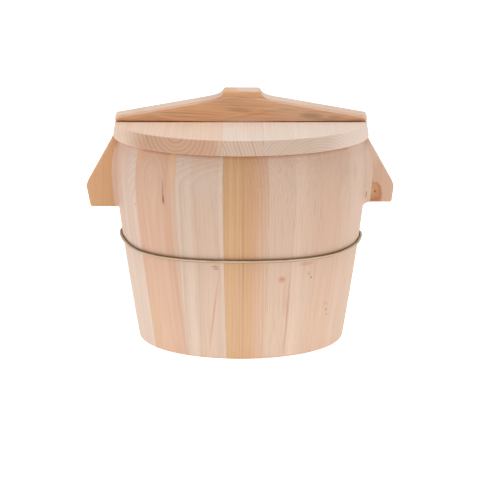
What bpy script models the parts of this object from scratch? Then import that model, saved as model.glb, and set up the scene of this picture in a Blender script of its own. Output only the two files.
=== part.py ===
"""Wooden rice steamer bucket: coopered staves with two ears, a wire hoop,
a lift-off lid with a batten handle, and a slatted steaming grate inside.

Metres, +Z up, origin on the floor at the bucket's axis. The ears lie along X
and the front is towards -Y. Angles go round the bucket from the front (0)
through the right ear (90), the back (180) and the left ear (270).
"""
import math

import bmesh
import bpy
from mathutils import Matrix, Vector

# Clearances
GAP = 0.0003                  # between pieces that touch
GRATE_CLEARANCE = 0.0008      # round the grate, so that it lifts out
LID_CLEARANCE = 0.0007        # between the lid's spigot and the mouth
CUT_MARGIN = 0.001            # how far a cutter reaches past what it cuts

# Bucket body
MOUTH_HEIGHT = 0.166          # top of the staves above the floor
BELLY_RADIUS = 0.1019         # outside, at the widest ring
BELLY_DROP = 0.030            # widest ring below the mouth
MOUTH_DRAW = 0.0039           # how much the sides draw in from the belly to the mouth
FOOT_DRAW = 0.0189            # and from the belly to the floor
TAPER_POWER = 1.225           # swell of the sides below the belly
SHOULDER_POWER = 2.3          # how late the sides turn in above the belly
FOOT_ROUND = 0.0026
WALL = 0.0135
LEDGE_HEIGHT = 0.024          # step inside that carries the grate
LEDGE_WIDTH = 0.005

# Stave widths round each half, from ear to ear, as shares of the half
FRONT_STAVES = (29.1, 24.6, 22.2, 20.2, 12.6, 13.5, 20.7, 24.9)
BACK_STAVES = (22.6, 17.4, 26.0, 19.2, 24.4, 14.9, 21.1, 22.2)

# Ears, measured down from the mouth; their undersides were sawn at unlike heights
EAR_THICKNESS = 0.0225
EAR_TOP_OUT = {"left": 0.0051, "right": 0.0035}     # past the mouth, level with it
EAR_TIP_OUT = {"left": 0.0233, "right": 0.0217}     # past the belly
EAR_TIP_DROP = 0.0393
EAR_FOOT_OUT = {"left": 0.0197, "right": 0.0199}    # past the belly, at the underside
EAR_NOSE = {"left": 0.0176, "right": 0.0138}        # height of the end, above the underside
EAR_CHAMFER = 0.0009

# Swelling of the neighbouring staves where they meet an ear
EAR_FLAT_OUT = 0.0042         # past the belly, where the ear's flat sides meet the joints
SWELL_RISE = {"left": 0.0032, "right": 0.0053}
SWELL_WIDTH = 0.0075
SWELL_FADE_DROP = 0.021       # fades out from here up to the mouth
SWELL_STEP = 0.0005           # height of the cut under the swelling

# Wire hoop, bent by hand: it waves a little and rides up below both ears
HOOP_DROP = 0.0842            # middle of the wave below the mouth
HOOP_WAVE = 0.0006            # up at the front, back and ears, down between them
HOOP_RISE = {"left": 0.0042, "right": 0.0022}
HOOP_RISE_ARC = {"left": 34, "right": 22}           # degrees each way from the ear
WIRE_DIAMETER = 0.0026

# Bamboo dowels across the stave joints
DOWEL_DIAMETER = 0.004
DOWEL_LENGTH = 0.014
DOWEL_DROP = 0.068            # below the mouth

# Lid
LID_OVERHANG = 0.0055         # rim past the mouth's outer edge
LID_THICKNESS = 0.0118
LID_RIM_DRAW = 0.0017         # how much the rim draws in towards its top
SPIGOT_DEPTH = 0.006
SPIGOT_CHAMFER = 0.001
LID_SEAM_LEFT = -0.0145
LID_SEAM_RIGHT = 0.0175
LID_DOWEL_OFFSET = 0.055      # from the middle, along the joint
LID_DOWEL_LENGTH = 0.024

# Batten handle on the lid
HANDLE_THICKNESS = 0.022
HANDLE_INSET = 0.0006         # from the lid's top edge at each end
HANDLE_END_HEIGHT = 0.0053
HANDLE_ROOT_HEIGHT = 0.0184   # top of the slope beside the knob
HANDLE_ROOT_HALF = 0.0266
KNOB_HEIGHT = 0.0254
KNOB_HALF = 0.0137
KNOB_OFFSET = 0.0008
KNOB_CORNER = 0.0013
HANDLE_BOW = 0.0011           # extra gap under the handle at its ends
HANDLE_EASE = 0.0007
TONGUE_NECK_HALF = 0.005      # dovetail tongue that slides into the lid
TONGUE_FOOT_HALF = 0.007
TONGUE_DEPTH = 0.006
TONGUE_INSET = 0.0016         # from the lid's top edge at each end

# Steaming grate
SLAT_COUNT = 6
SLAT_GAP = 0.0036
SLAT_THICKNESS = 0.008
BATTEN_WIDTH = 0.012
BATTEN_THICKNESS = 0.007
BATTEN_OFFSET = 0.024         # from the middle, each way

# Facets
STAVE_STEP = 4.3              # degrees of arc for each facet
TURNED_STEPS = 96
ROD_SIDES = 8

# Worked-out sizes
mouth_radius = BELLY_RADIUS - MOUTH_DRAW
belly_height = MOUTH_HEIGHT - BELLY_DROP
ear_tip_height = MOUTH_HEIGHT - EAR_TIP_DROP
ear_foot_height = {side: ear_tip_height - nose for side, nose in EAR_NOSE.items()}
ear_angle = {"right": 90, "left": 270}
swell_fade_height = MOUTH_HEIGHT - SWELL_FADE_DROP
dowel_height = MOUTH_HEIGHT - DOWEL_DROP
lid_bottom = MOUTH_HEIGHT + GAP
lid_top = lid_bottom + LID_THICKNESS
lid_radius = mouth_radius + LID_OVERHANG
lid_top_radius = lid_radius - LID_RIM_DRAW
spigot_bottom = lid_bottom - SPIGOT_DEPTH
slat_bottom = LEDGE_HEIGHT + GAP
slat_top = slat_bottom + SLAT_THICKNESS

ear_half_angle = math.degrees(math.asin(EAR_THICKNESS / 2 / (BELLY_RADIUS + EAR_FLAT_OUT)))


def outer_radius(z):
    if z <= belly_height:
        drop = (belly_height - z) / belly_height
        return BELLY_RADIUS - FOOT_DRAW * drop ** TAPER_POWER
    rise = (z - belly_height) / BELLY_DROP
    return BELLY_RADIUS - MOUTH_DRAW * rise ** SHOULDER_POWER


def inner_radius(z):
    """The inside follows the outside up to the belly and is straight above it."""
    return outer_radius(min(z, belly_height)) - WALL


mouth_bore = inner_radius(MOUTH_HEIGHT)
spigot_radius = mouth_bore - LID_CLEARANCE
ledge_bore = inner_radius(LEDGE_HEIGHT) - LEDGE_WIDTH
grate_radius = inner_radius(LEDGE_HEIGHT) - GRATE_CLEARANCE
batten_reach = ledge_bore - GRATE_CLEARANCE
joint_gap = math.degrees(GAP / ledge_bore)


def point_at(radius, angle, z):
    turn = math.radians(angle)
    return Vector((radius * math.sin(turn), -radius * math.cos(turn), z))


def colour(red, green, blue):
    """Screen colour, 0 to 255, as the linear values that a shader takes."""
    screen = [value / 255 for value in (red, green, blue)]
    linear = [v / 12.92 if v <= 0.04045 else ((v + 0.055) / 1.055) ** 2.4 for v in screen]
    return (*linear, 1.0)


def make_material(name, base, roughness, metallic=0.0):
    material = bpy.data.materials.new(name)
    material.use_nodes = True
    shader = material.node_tree.nodes["Principled BSDF"]
    shader.inputs["Base Color"].default_value = base
    shader.inputs["Roughness"].default_value = roughness
    shader.inputs["Metallic"].default_value = metallic
    return material


def clear_scene():
    for obj in list(bpy.data.objects):
        bpy.data.objects.remove(obj, do_unlink=True)


def make_collection(name):
    collection = bpy.data.collections.new(name)
    bpy.context.scene.collection.children.link(collection)
    return collection


def add_object(name, mesh, collection):
    obj = bpy.data.objects.new(name, mesh)
    collection.objects.link(obj)
    return obj


def mesh_from(bm, name):
    bmesh.ops.recalc_face_normals(bm, faces=bm.faces)
    mesh = bpy.data.meshes.new(name)
    bm.to_mesh(mesh)
    bm.free()
    return mesh


def apply_modifiers(obj):
    """Keep the shape that the modifiers give, and drop the modifiers."""
    graph = bpy.context.evaluated_depsgraph_get()
    obj.data = bpy.data.meshes.new_from_object(obj.evaluated_get(graph))
    obj.modifiers.clear()


def add_boolean(obj, cutter, operation):
    modifier = obj.modifiers.new(cutter.name, "BOOLEAN")
    modifier.operation = operation
    modifier.solver = "EXACT"
    modifier.object = cutter
    return modifier


def hide_cutter(obj):
    obj.hide_render = True
    obj.display_type = "WIRE"
    return obj


def smooth(obj, angle=30):
    obj.data.shade_smooth()
    obj.data.set_sharp_from_angle(angle=math.radians(angle))


def spread(start, end, count):
    return [start + (end - start) * i / count for i in range(count + 1)]


def flat_plate(name, outline, half_thickness, collection):
    """A flat outline in the XY plane, given a thickness and made a mesh."""
    curve = bpy.data.curves.new(name, "CURVE")
    curve.dimensions = "2D"
    curve.fill_mode = "BOTH"
    curve.extrude = half_thickness
    spline = curve.splines.new("POLY")
    spline.points.add(len(outline) - 1)
    for point, (x, y) in zip(spline.points, outline):
        point.co = (x, y, 0, 1)
    spline.use_cyclic_u = True
    source = add_object(name + "_outline", curve, collection)
    graph = bpy.context.evaluated_depsgraph_get()
    mesh = bpy.data.meshes.new_from_object(source.evaluated_get(graph))
    bpy.data.objects.remove(source, do_unlink=True)
    bm = bmesh.new()
    bm.from_mesh(mesh)
    bmesh.ops.remove_doubles(bm, verts=bm.verts, dist=0.00001)
    return add_object(name, mesh_from(bm, name), collection)


def box(name, low, high, collection):
    bm = bmesh.new()
    bmesh.ops.create_cube(bm, size=1)
    size = [b - a for a, b in zip(low, high)]
    middle = [(a + b) / 2 for a, b in zip(low, high)]
    bmesh.ops.scale(bm, verts=bm.verts, vec=size)
    bmesh.ops.translate(bm, verts=bm.verts, vec=middle)
    return add_object(name, mesh_from(bm, name), collection)


def rods(name, lines, radius, collection):
    """Round rods in one object; a line is a middle, a direction and a length."""
    bm = bmesh.new()
    for middle, direction, length in lines:
        turn = Vector((0, 0, 1)).rotation_difference(direction).to_matrix().to_4x4()
        bmesh.ops.create_cone(
            bm, cap_ends=True, segments=ROD_SIDES, radius1=radius, radius2=radius,
            depth=length, matrix=Matrix.Translation(middle) @ turn)
    return add_object(name, mesh_from(bm, name), collection)


def dowels_and_holes(name, lines, collection, cutters, material):
    """A dowel for each line, each its own object, and one cutter for all their holes."""
    dowels = []
    for i, line in enumerate(lines):
        dowel = rods(f"{name}_{i + 1}", [line], DOWEL_DIAMETER / 2, collection)
        dowel.data.materials.append(material)
        smooth(dowel, 60)
        dowels.append(dowel)
    deeper = [(middle, direction, length + 2 * GAP) for middle, direction, length in lines]
    holes = rods(name + "_holes", deeper, DOWEL_DIAMETER / 2 + GAP, cutters)
    return dowels, hide_cutter(holes)


def turned(name, profile, collection):
    """A profile of (radius, height) points at +X, outer side downwards, turned round Z."""
    mesh = bpy.data.meshes.new(name)
    edges = [(i, i + 1) for i in range(len(profile) - 1)]
    mesh.from_pydata([(radius, 0, z) for radius, z in profile], edges, [])
    obj = add_object(name, mesh, collection)
    screw = obj.modifiers.new("turn", "SCREW")
    screw.steps = screw.render_steps = TURNED_STEPS
    screw.use_merge_vertices = True
    screw.merge_threshold = 0.00001
    screw.use_smooth_shade = True
    return obj


def stave_profile(ear_foot):
    """Section through the wall: the foot, up the outside, over the mouth, down the inside.

    The outside has a step's height of its own above the ears' underside."""
    profile = [(outer_radius(FOOT_ROUND) - FOOT_ROUND, 0)]
    for turn in (30, 60, 90):
        swing = math.radians(turn)
        radius = outer_radius(FOOT_ROUND) - FOOT_ROUND * (1 - math.sin(swing))
        profile.append((radius, FOOT_ROUND * (1 - math.cos(swing))))
    sides = spread(FOOT_ROUND, ear_foot, 5)[1:]
    top = spread(ear_foot + SWELL_STEP, MOUTH_HEIGHT, 7)
    profile += [(outer_radius(z), z) for z in sides + top]
    inside = spread(MOUTH_HEIGHT, LEDGE_HEIGHT, 7)
    profile += [(inner_radius(z), z) for z in inside]
    profile += [(ledge_bore, LEDGE_HEIGHT), (ledge_bore, 0)]
    return profile


def spun(name, profile, angles, collection):
    """The profile as one face, swept round the axis through the given angles."""
    bm = bmesh.new()
    section = bm.faces.new([bm.verts.new(point_at(r, angles[0], z)) for r, z in profile])
    geometry = [section]
    for start, end in zip(angles, angles[1:]):
        swept = bmesh.ops.spin(
            bm, geom=geometry, cent=(0, 0, 0), axis=(0, 0, 1),
            angle=math.radians(end - start), steps=1, use_duplicate=False)
        geometry = swept["geom_last"]
    return add_object(name, mesh_from(bm, name), collection)


def swell(distance, z, side):
    """How far a stave stands out beside an ear, at an arc distance from the joint."""
    if distance >= SWELL_WIDTH or z < ear_foot_height[side] + SWELL_STEP / 2:
        return 0.0
    across = 1 - distance / SWELL_WIDTH
    rise = SWELL_RISE[side] * (1 - math.sqrt(1 - across ** 2))
    if z > swell_fade_height:
        rise *= 1 - ((z - swell_fade_height) / SWELL_FADE_DROP) ** 2
    return rise


def swell_towards(obj, joint_angle, side):
    """Push the outside of a stave out into a hollow fillet beside the ear at joint_angle."""
    flank = point_at(1, joint_angle, 0)
    for vertex in obj.data.vertices:
        spot = vertex.co
        radius = math.hypot(spot.x, spot.y)
        if radius < outer_radius(spot.z) - WALL / 4:
            continue
        outward = Vector((spot.x, spot.y, 0)) / radius
        distance = outward.angle(flank, 0) * radius
        vertex.co = spot + outward * swell(distance, spot.z, side)


def stave_joints():
    """Joint angles from ear to ear, for the front half and for the back half."""
    halves = []
    for middle, widths in ((0, FRONT_STAVES), (180, BACK_STAVES)):
        start = middle - 90 + ear_half_angle
        span = 180 - 2 * ear_half_angle
        joints = [start]
        for width in widths:
            joints.append(joints[-1] + width * span / sum(widths))
        halves.append(joints)
    return halves


def plain_stave(name, start, end, holes, collection, side, ear_joint=None):
    first = start + joint_gap / 2
    last = end - joint_gap / 2
    steps = max(3, round((last - first) / STAVE_STEP))
    angles = spread(first, last, steps)
    if ear_joint is not None:
        # Closer facets through the swelling beside the ear
        zone = math.degrees(SWELL_WIDTH / BELLY_RADIUS)
        if ear_joint == start:
            angles = spread(first, first + zone, 4) + spread(first + zone, last, steps - 1)[1:]
        else:
            angles = spread(first, last - zone, steps - 1) + spread(last - zone, last, 4)[1:]
    stave = spun(name, stave_profile(ear_foot_height[side]), angles, collection)
    if ear_joint is not None:
        swell_towards(stave, first if ear_joint == start else last, side)
    add_boolean(stave, holes, "DIFFERENCE")
    smooth(stave)
    return stave


def ear_stave(name, side, holes, collection, cutters):
    """A stave and its ear in one board: the ear is joined on, then the joints are planed."""
    margin_angle = math.degrees(CUT_MARGIN / ledge_bore)
    angles = spread(90 - ear_half_angle - margin_angle, 90 + ear_half_angle + margin_angle, 4)
    foot = ear_foot_height[side]
    profile = [(r, z + CUT_MARGIN if z == MOUTH_HEIGHT else z) for r, z in stave_profile(foot)]
    stave = spun(name, profile, angles, collection)

    root = (mouth_bore + mouth_radius) / 2
    top_reach = mouth_radius + EAR_TOP_OUT[side]
    tip_reach = BELLY_RADIUS + EAR_TIP_OUT[side]
    rise = CUT_MARGIN / 2
    outline = [
        (root, MOUTH_HEIGHT + rise),
        (top_reach - rise * (tip_reach - top_reach) / EAR_TIP_DROP, MOUTH_HEIGHT + rise),
        (tip_reach, ear_tip_height),
        (BELLY_RADIUS + EAR_FOOT_OUT[side], foot),
        (root, foot)]
    lug = flat_plate(name + "_lug", outline, EAR_THICKNESS / 2, cutters)
    lug.data.transform(Matrix.Rotation(math.radians(90), 4, "X"))
    ease = lug.modifiers.new("chamfer", "BEVEL")
    ease.width = EAR_CHAMFER
    ease.segments = 1
    ease.limit_method = "ANGLE"
    hide_cutter(lug)

    near, far = ledge_bore / 2, tip_reach * 1.5
    turn = math.radians(ear_half_angle)
    wedge_outline = [
        (near * math.cos(turn), -near * math.sin(turn)),
        (far * math.cos(turn), -far * math.sin(turn)),
        (far * math.cos(turn), far * math.sin(turn)),
        (near * math.cos(turn), near * math.sin(turn))]
    wedge = flat_plate(name + "_wedge", wedge_outline, MOUTH_HEIGHT, cutters)
    hide_cutter(wedge)

    add_boolean(stave, lug, "UNION")
    add_boolean(stave, wedge, "INTERSECT")
    apply_modifiers(stave)
    stave.data.transform(Matrix.Rotation(math.radians(ear_angle[side] - 90), 4, "Z"))
    add_boolean(stave, holes, "DIFFERENCE")
    smooth(stave)
    return stave


def hoop_height(angle):
    """Height of the wire's middle at an angle from 0 to 360 round the bucket."""
    height = MOUTH_HEIGHT - HOOP_DROP + HOOP_WAVE * math.cos(math.radians(4 * angle))
    for side, middle in ear_angle.items():
        away = abs(angle - middle) / HOOP_RISE_ARC[side]
        if away < 1:
            height += HOOP_RISE[side] * (1 + math.cos(math.pi * away)) / 2
    return height


def wire_hoop(collection):
    curve = bpy.data.curves.new("wire_hoop", "CURVE")
    curve.dimensions = "3D"
    curve.bevel_depth = WIRE_DIAMETER / 2
    curve.bevel_resolution = 2
    spline = curve.splines.new("POLY")
    spline.points.add(TURNED_STEPS - 1)
    spline.use_cyclic_u = True
    for i, point in enumerate(spline.points):
        angle = 360 * i / TURNED_STEPS
        z = hoop_height(angle)
        radius = outer_radius(z + WIRE_DIAMETER / 2) + GAP + WIRE_DIAMETER / 2
        point.co = (*point_at(radius, angle, z), 1)
    return add_object("wire_hoop", curve, collection)


def build_bucket(collection, cutters, materials):
    pieces = []
    halves = stave_joints()
    joints = sorted({round(angle % 360, 6) for half in halves for angle in half})
    wall_middle = outer_radius(dowel_height) - WALL / 2
    lines = []
    for angle in joints:
        middle = point_at(wall_middle, angle, dowel_height)
        lines.append((middle, point_at(1, angle + 90, 0), DOWEL_LENGTH))
    dowels, holes = dowels_and_holes(
        "stave_dowel", lines, collection, cutters, materials["bamboo"])

    ears_beside = (("left", "right"), ("right", "left"))
    for half, joint_list, ears in zip(("front", "back"), halves, ears_beside):
        last = len(joint_list) - 2
        for i in range(last + 1):
            start, end = joint_list[i], joint_list[i + 1]
            side, joint = ears[0], None
            if i == 0:
                joint = start
            elif i == last:
                side, joint = ears[1], end
            stave = plain_stave(
                f"stave_{half}_{i + 1}", start, end, holes, collection, side, joint)
            stave.data.materials.append(materials[stave.name])
            pieces.append(stave)

    for side in ear_angle:
        ear = ear_stave(f"ear_stave_{side}", side, holes, collection, cutters)
        ear.data.materials.clear()
        ear.data.materials.append(materials[ear.name])
        pieces.append(ear)

    hoop = wire_hoop(collection)
    hoop.data.materials.append(materials["steel_wire"])
    return pieces + dowels + [hoop]


def handle_outline():
    """Front outline of the batten, in x and in height above the lid."""
    end = lid_top_radius - HANDLE_INSET

    def flank(side):
        root = Vector((side * HANDLE_ROOT_HALF, HANDLE_ROOT_HEIGHT))
        slope = (HANDLE_ROOT_HEIGHT - HANDLE_END_HEIGHT) / (end - HANDLE_ROOT_HALF)
        knob_side = KNOB_OFFSET + side * (KNOB_HALF + KNOB_CORNER)
        waist = Vector((knob_side + side * KNOB_CORNER, 0))
        waist.y = HANDLE_ROOT_HEIGHT + slope * (HANDLE_ROOT_HALF - abs(waist.x))
        neck = Vector((knob_side, KNOB_HEIGHT - KNOB_CORNER))
        blend = []
        for t in spread(0, 1, 5):
            blend.append((1 - t) ** 2 * root + 2 * t * (1 - t) * waist + t ** 2 * neck)
        corner = Vector((KNOB_OFFSET + side * KNOB_HALF, KNOB_HEIGHT))
        return [Vector((side * end, HANDLE_END_HEIGHT))] + blend + [corner]

    right = flank(1)
    left = flank(-1)
    ends = [Vector((-end, GAP + HANDLE_BOW)), Vector((0, GAP)), Vector((end, GAP + HANDLE_BOW))]
    return ends + right + left[::-1]


def build_lid(collection, cutters, materials):
    profile = [
        (0, lid_top), (lid_top_radius, lid_top), (lid_radius, lid_bottom),
        (spigot_radius, lid_bottom), (spigot_radius, spigot_bottom + SPIGOT_CHAMFER),
        (spigot_radius - SPIGOT_CHAMFER, spigot_bottom), (0, spigot_bottom)]
    disc = hide_cutter(turned("lid_disc", profile, cutters))

    def dovetail(name, grow, top, half_length):
        outline = [
            (-TONGUE_FOOT_HALF - grow, -TONGUE_DEPTH - grow),
            (TONGUE_FOOT_HALF + grow, -TONGUE_DEPTH - grow),
            (TONGUE_NECK_HALF + grow, 0), (TONGUE_NECK_HALF + grow, top),
            (-TONGUE_NECK_HALF - grow, top), (-TONGUE_NECK_HALF - grow, 0)]
        plate = flat_plate(name, outline, half_length, cutters)
        plate.data.transform(Matrix.Rotation(math.radians(90), 4, "X"))
        plate.data.transform(Matrix.Rotation(math.radians(90), 4, "Z"))
        plate.data.transform(Matrix.Translation((0, 0, lid_top)))
        return hide_cutter(plate)

    tongue = dovetail("handle_tongue", 0, HANDLE_END_HEIGHT / 2, lid_top_radius - TONGUE_INSET)
    groove = dovetail("lid_groove", GAP, 2 * CUT_MARGIN, lid_radius + 2 * CUT_MARGIN)

    middle_height = (spigot_bottom + lid_top) / 2
    lines = []
    for seam in (LID_SEAM_LEFT, LID_SEAM_RIGHT):
        for side in (-1, 1):
            middle = Vector((seam, side * LID_DOWEL_OFFSET, middle_height))
            lines.append((middle, Vector((1, 0, 0)), LID_DOWEL_LENGTH))
    dowels, holes = dowels_and_holes(
        "lid_dowel", lines, collection, cutters, materials["bamboo"])

    beyond = lid_radius + CUT_MARGIN
    spans = {
        "lid_board_left": (-beyond, LID_SEAM_LEFT - GAP / 2),
        "lid_board_middle": (LID_SEAM_LEFT + GAP / 2, LID_SEAM_RIGHT - GAP / 2),
        "lid_board_right": (LID_SEAM_RIGHT + GAP / 2, beyond)}
    pieces = []
    for name, (left, right) in spans.items():
        low = (left, -beyond, spigot_bottom - CUT_MARGIN)
        high = (right, beyond, lid_top + CUT_MARGIN)
        board = box(name, low, high, collection)
        add_boolean(board, groove, "DIFFERENCE")
        add_boolean(board, holes, "DIFFERENCE")
        add_boolean(board, disc, "INTERSECT")
        board.data.materials.append(materials[name])
        pieces.append(board)

    handle = flat_plate("lid_handle", [tuple(p) for p in handle_outline()],
                        HANDLE_THICKNESS / 2, collection)
    handle.data.transform(Matrix.Rotation(math.radians(90), 4, "X"))
    handle.data.transform(Matrix.Translation((0, 0, lid_top)))
    ease = handle.modifiers.new("ease", "BEVEL")
    ease.width = HANDLE_EASE
    ease.segments = 1
    ease.limit_method = "ANGLE"
    add_boolean(handle, tongue, "UNION")
    handle.data.materials.append(materials["lid_handle"])
    return pieces + [handle] + dowels


def build_grate(collection, cutters, materials):
    def round_cutter(name, radius):
        bm = bmesh.new()
        bmesh.ops.create_cone(bm, cap_ends=True, segments=TURNED_STEPS, radius1=radius,
                              radius2=radius, depth=2 * MOUTH_HEIGHT)
        cutter = add_object(name, mesh_from(bm, name), cutters)
        return hide_cutter(cutter)

    disc = round_cutter("grate_disc", grate_radius)
    bore = round_cutter("grate_bore", batten_reach)
    pitch = (2 * grate_radius + SLAT_GAP) / SLAT_COUNT
    slat_width = pitch - SLAT_GAP
    middles = [-grate_radius + slat_width / 2 + i * pitch for i in range(SLAT_COUNT)]
    batten_top = slat_bottom - GAP
    batten_bottom = batten_top - BATTEN_THICKNESS

    pieces = []
    for i, x in enumerate(middles):
        low = (x - slat_width / 2, -grate_radius - CUT_MARGIN, slat_bottom)
        high = (x + slat_width / 2, grate_radius + CUT_MARGIN, slat_top)
        slat = box(f"grate_slat_{i + 1}", low, high, collection)
        add_boolean(slat, disc, "INTERSECT")
        slat.data.materials.append(materials["grate_slat"])
        pieces.append(slat)
    for name, side in (("grate_batten_front", -1), ("grate_batten_back", 1)):
        y = side * BATTEN_OFFSET
        low = (-grate_radius, y - BATTEN_WIDTH / 2, batten_bottom)
        high = (grate_radius, y + BATTEN_WIDTH / 2, batten_top)
        batten = box(name, low, high, collection)
        add_boolean(batten, bore, "INTERSECT")
        batten.data.materials.append(materials["grate_batten"])
        pieces.append(batten)
    return pieces


def build_materials():
    tones = {
        "stave_front_1": (221, 194, 173), "stave_front_2": (219, 181, 154),
        "stave_front_3": (215, 188, 166), "stave_front_4": (209, 166, 129),
        "stave_front_5": (216, 184, 160), "stave_front_6": (220, 190, 167),
        "stave_front_7": (218, 184, 159), "stave_front_8": (221, 192, 170),
        "stave_back_1": (220, 190, 166), "stave_back_2": (213, 172, 139),
        "stave_back_3": (218, 186, 162), "stave_back_4": (222, 195, 173),
        "stave_back_5": (214, 179, 150), "stave_back_6": (216, 189, 168),
        "stave_back_7": (210, 168, 134), "stave_back_8": (220, 188, 163),
        "ear_stave_left": (211, 163, 120), "ear_stave_right": (214, 176, 148),
        "lid_board_left": (232, 206, 186), "lid_board_middle": (231, 203, 182),
        "lid_board_right": (233, 207, 188), "lid_handle": (202, 145, 103),
        "grate_slat": (222, 192, 164), "grate_batten": (214, 178, 146),
        "bamboo": (222, 198, 150)}
    materials = {name: make_material(name, colour(*tone), 0.62) for name, tone in tones.items()}
    materials["steel_wire"] = make_material("steel_wire", colour(150, 140, 122), 0.35, 1.0)
    return materials


def parent_to(name, location, pieces, collection):
    """An empty on the axis along which these pieces move, or on which they stand."""
    empty = bpy.data.objects.new(name, None)
    empty.location = location
    collection.objects.link(empty)
    for piece in pieces:
        piece.parent = empty
        piece.matrix_parent_inverse = Matrix.Translation(location).inverted()


def main():
    clear_scene()
    collection = make_collection("rice_steamer_bucket")
    cutters = make_collection("cutters")
    materials = build_materials()
    bucket = build_bucket(collection, cutters, materials)
    lid = build_lid(collection, cutters, materials)
    grate = build_grate(collection, cutters, materials)
    parent_to("bucket_axis", (0, 0, 0), bucket, collection)
    parent_to("lid_axis", (0, 0, lid_bottom), lid, collection)
    parent_to("grate_axis", (0, 0, slat_bottom), grate, collection)


main()
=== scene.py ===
# Wooden rice steamer bucket. The staves, ears, hoop, lid and grate are modelled here in
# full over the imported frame, and finished as planed fir.
# Metres, +Z up. Angles go round the bucket from the front (0) through the right ear (90).
import math

import bmesh
import bpy
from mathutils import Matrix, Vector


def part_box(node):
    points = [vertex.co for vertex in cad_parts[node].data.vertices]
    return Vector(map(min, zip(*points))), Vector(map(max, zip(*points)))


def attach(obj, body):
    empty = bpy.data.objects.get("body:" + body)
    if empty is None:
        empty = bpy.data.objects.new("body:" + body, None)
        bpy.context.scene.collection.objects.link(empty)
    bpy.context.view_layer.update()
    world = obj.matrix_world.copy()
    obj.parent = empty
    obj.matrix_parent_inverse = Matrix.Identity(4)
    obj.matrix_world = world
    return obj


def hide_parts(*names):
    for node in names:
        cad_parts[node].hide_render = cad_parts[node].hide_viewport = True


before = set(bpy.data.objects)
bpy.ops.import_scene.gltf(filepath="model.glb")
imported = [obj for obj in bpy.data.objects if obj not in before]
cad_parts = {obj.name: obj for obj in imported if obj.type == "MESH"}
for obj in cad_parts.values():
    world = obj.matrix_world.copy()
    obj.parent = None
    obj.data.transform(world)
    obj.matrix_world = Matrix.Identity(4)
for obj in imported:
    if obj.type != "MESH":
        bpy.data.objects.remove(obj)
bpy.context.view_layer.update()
print("frame loaded, nodes:", len(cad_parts))

near = 0.00002      # how close two places are to count as the same
millimetres = 1000      # in a metre


# camera, floor and light

shot = {"lens": 180.0, "place": (-0.0008, -1.9183, 0.4833), "tilt": 78.1}
room = {
    "floorSize": 14.0, "floorTone": (0.9, 0.895, 0.89), "floorGlow": 0.85, "floorBounce": 0.42,
    "skyLight": 0.5,
    "softboxes": {     # place, turns towards the bucket, size, watts
        "topBox": ((0.0, -0.4, 2.3), (10, 0), 1.6, 22.0),
        "leftBox": ((-1.9, -1.9, 0.4), (80, -45), 1.6, 7.0),
        "rightBox": ((1.9, -1.9, 0.4), (80, 45), 1.6, 6.0)}}


def screen(red, green, blue):
    levels = [part / 255 for part in (red, green, blue)]
    return (*[v / 12.92 if v <= 0.04045 else ((v + 0.055) / 1.055) ** 2.4 for v in levels], 1.0)


class Value:        # a socket that can stand in sums
    def __init__(self, sheet, socket):
        self.sheet = sheet
        self.socket = socket

    def __add__(self, other):
        return self.sheet.maths("ADD", self, other)

    def __radd__(self, other):
        return self.sheet.maths("ADD", other, self)

    def __sub__(self, other):
        return self.sheet.maths("SUBTRACT", self, other)

    def __rsub__(self, other):
        return self.sheet.maths("SUBTRACT", other, self)

    def __mul__(self, other):
        return self.sheet.maths("MULTIPLY", self, other)

    def __rmul__(self, other):
        return self.sheet.maths("MULTIPLY", other, self)

    def __truediv__(self, other):
        return self.sheet.maths("DIVIDE", self, other)

    def __rtruediv__(self, other):
        return self.sheet.maths("DIVIDE", other, self)

    def __pow__(self, other):
        return self.sheet.maths("POWER", self, other)

    def __rpow__(self, other):
        return self.sheet.maths("POWER", other, self)


class Sheet:        # the nodes of one material or of the world
    def __init__(self, owner):
        owner.use_nodes = True
        self.tree = owner.node_tree
        self.tree.nodes.clear()

    def node(self, kind, settings=None, sockets=None, out=0):
        made = self.tree.nodes.new("ShaderNode" + kind)
        for name, value in (settings or {}).items():
            if name == "stops":
                ramp = made.color_ramp.elements
                while len(ramp) < len(value):
                    ramp.new(1.0)
                for stop, (place, tone) in zip(ramp, value):
                    stop.position = place
                    stop.color = tone
            else:
                setattr(made, name, value)
        for name, value in (sockets or {}).items():
            if isinstance(value, Value):
                self.tree.links.new(value.socket, made.inputs[name])
            else:
                made.inputs[name].default_value = value
        if isinstance(out, tuple):
            return [Value(self, made.outputs[name]) for name in out]
        return Value(self, made.outputs[out]) if len(made.outputs) else None

    def maths(self, operation, first, second=0.0, clamp=False):
        settings = {"operation": operation, "use_clamp": clamp}
        return self.node("Math", settings, {0: first, 1: second})

    def clamp(self, value):
        return self.maths("ADD", value, 0.0, clamp=True)

    def split(self, vector, out):
        return self.node("SeparateXYZ", {}, {0: vector}, out)

    def blend(self, factor, first, second, how="MIX"):      # sockets by number: names repeat
        settings = {"data_type": "RGBA", "blend_type": how}
        return self.node("Mix", settings, {0: factor, 6: first, 7: second}, out=2)

    def noise(self, vector, stretch, seed, detail=2.0, out="Fac"):
        place = self.node("Mapping", {}, {"Vector": vector, "Scale": stretch, "Location": seed})
        return self.node("TexNoise", {}, {"Vector": place, "Scale": 1.0, "Detail": detail}, out)


def seenDirectly(sheet):        # 1 for what the camera, a reflection or glass shows
    camera, glossy, through = sheet.node(
        "LightPath", out=("Is Camera Ray", "Is Glossy Ray", "Is Transmission Ray"))
    return sheet.clamp(camera + glossy + through)


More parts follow.
